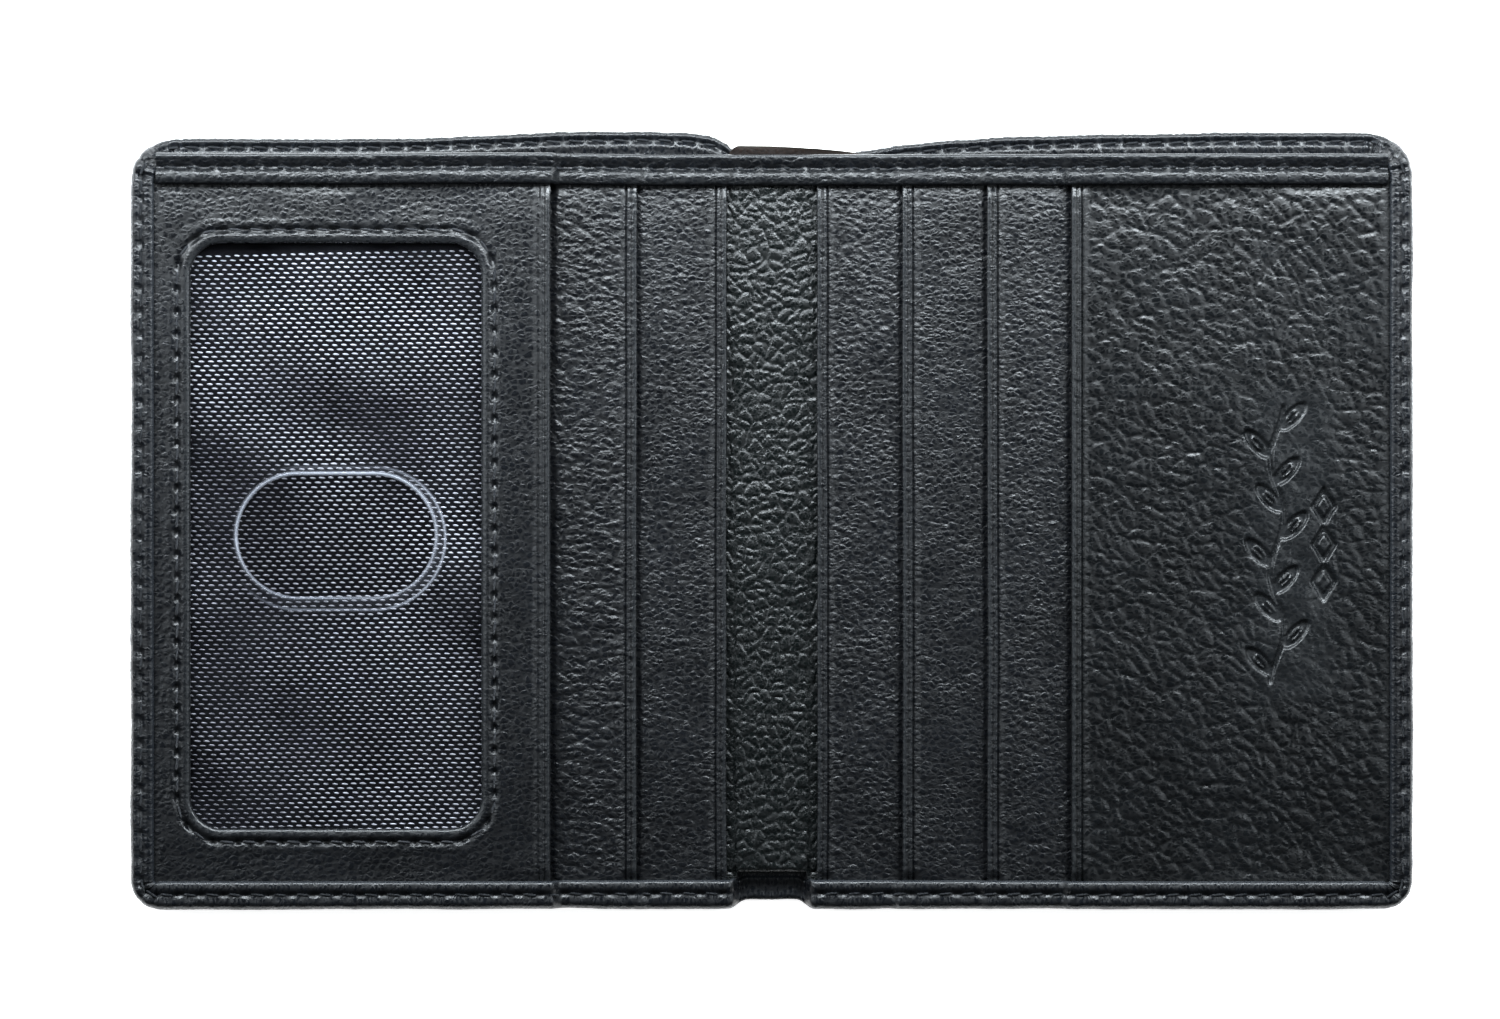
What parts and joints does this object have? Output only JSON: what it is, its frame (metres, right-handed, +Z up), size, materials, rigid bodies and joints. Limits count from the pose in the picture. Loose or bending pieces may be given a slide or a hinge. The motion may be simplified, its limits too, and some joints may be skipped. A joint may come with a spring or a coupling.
{
  "type": "folding wallet",
  "caption": "Black leather wallet lying open: two card leaves joined by a narrow folding spine, with layered card pockets, a clear identity window and a full-length bill compartment.",
  "frame": {"origin": "centre of the spine's outer face, on the surface that the open wallet lies on", "axes": "+X along the open width towards the leaf without the window, +Y towards the mouth of the bill compartment, +Z up out of the inner face"},
  "size_m": [0.17, 0.1024, 0.0066],
  "materials": {
    "cover_leather": "fine-grained black cowhide, semi-matt",
    "inner_leather": "pebble-grained and creased black leather, semi-matt",
    "divider_leather": "smooth thin leather, brown-black",
    "lining_fabric": "plain black lining",
    "woven_backing": "glossy basket weave",
    "clear_plastic": "clear vinyl, glossy",
    "shielding_foil": "foil",
    "thread": "waxed polyester thread"
  },
  "bodies": {
    "spine": {"shell_spine": "cover_leather", "hem_spine": "cover_leather", "rfid_foil_spine": "shielding_foil", "bill_lining_spine": "lining_fabric", "divider_spine": "divider_leather", "inner_lining_spine": "lining_fabric", "base_leather_spine": "inner_leather", "top_trim_spine": "inner_leather", "trim_stitches_spine": "thread", "hem_stitches_spine": "thread"},
    "left_leaf": {"shell_left": "cover_leather", "hem_left": "cover_leather", "rfid_foil_left": "shielding_foil", "bill_lining_left": "lining_fabric", "divider_left": "divider_leather", "inner_lining_left": "lining_fabric", "base_leather_left": "inner_leather", "top_trim_left": "inner_leather", "pocket_left_1": "inner_leather", "pocket_lining_left_1": "lining_fabric", "pocket_left_2": "inner_leather", "pocket_lining_left_2": "lining_fabric", "id_backing_mesh": "woven_backing", "id_window_sheet": "clear_plastic", "id_window_frame": "inner_leather", "side_border_left": "cover_leather", "bottom_border_left": "cover_leather", "border_stitches_left": "thread", "window_stitches": "thread", "trim_stitches_left": "thread", "hem_stitches_left": "thread"},
    "right_leaf": {"shell_right": "cover_leather", "hem_right": "cover_leather", "rfid_foil_right": "shielding_foil", "bill_lining_right": "lining_fabric", "divider_right": "divider_leather", "inner_lining_right": "lining_fabric", "base_leather_right": "inner_leather", "top_trim_right": "inner_leather", "pocket_right_1": "inner_leather", "pocket_lining_right_1": "lining_fabric", "pocket_right_2": "inner_leather", "pocket_lining_right_2": "lining_fabric", "pocket_right_3": "inner_leather", "pocket_lining_right_3": "lining_fabric", "card_panel_right": "inner_leather", "card_panel_lining": "lining_fabric", "side_border_right": "cover_leather", "bottom_border_right": "cover_leather", "border_stitches_right": "thread", "trim_stitches_right": "thread", "hem_stitches_right": "thread"}
  },
  "joints": [
    {"name": "left_fold", "type": "hinge", "parent": "spine", "child": "left_leaf", "pos_m": [-0.0042, 0, 0.00305], "axis": [0, 1, 0], "range_deg": [0, 90]},
    {"name": "right_fold", "type": "hinge", "parent": "spine", "child": "right_leaf", "pos_m": [0.0042, 0, 0.00305], "axis": [0, -1, 0], "range_deg": [0, 90]}
  ]
}
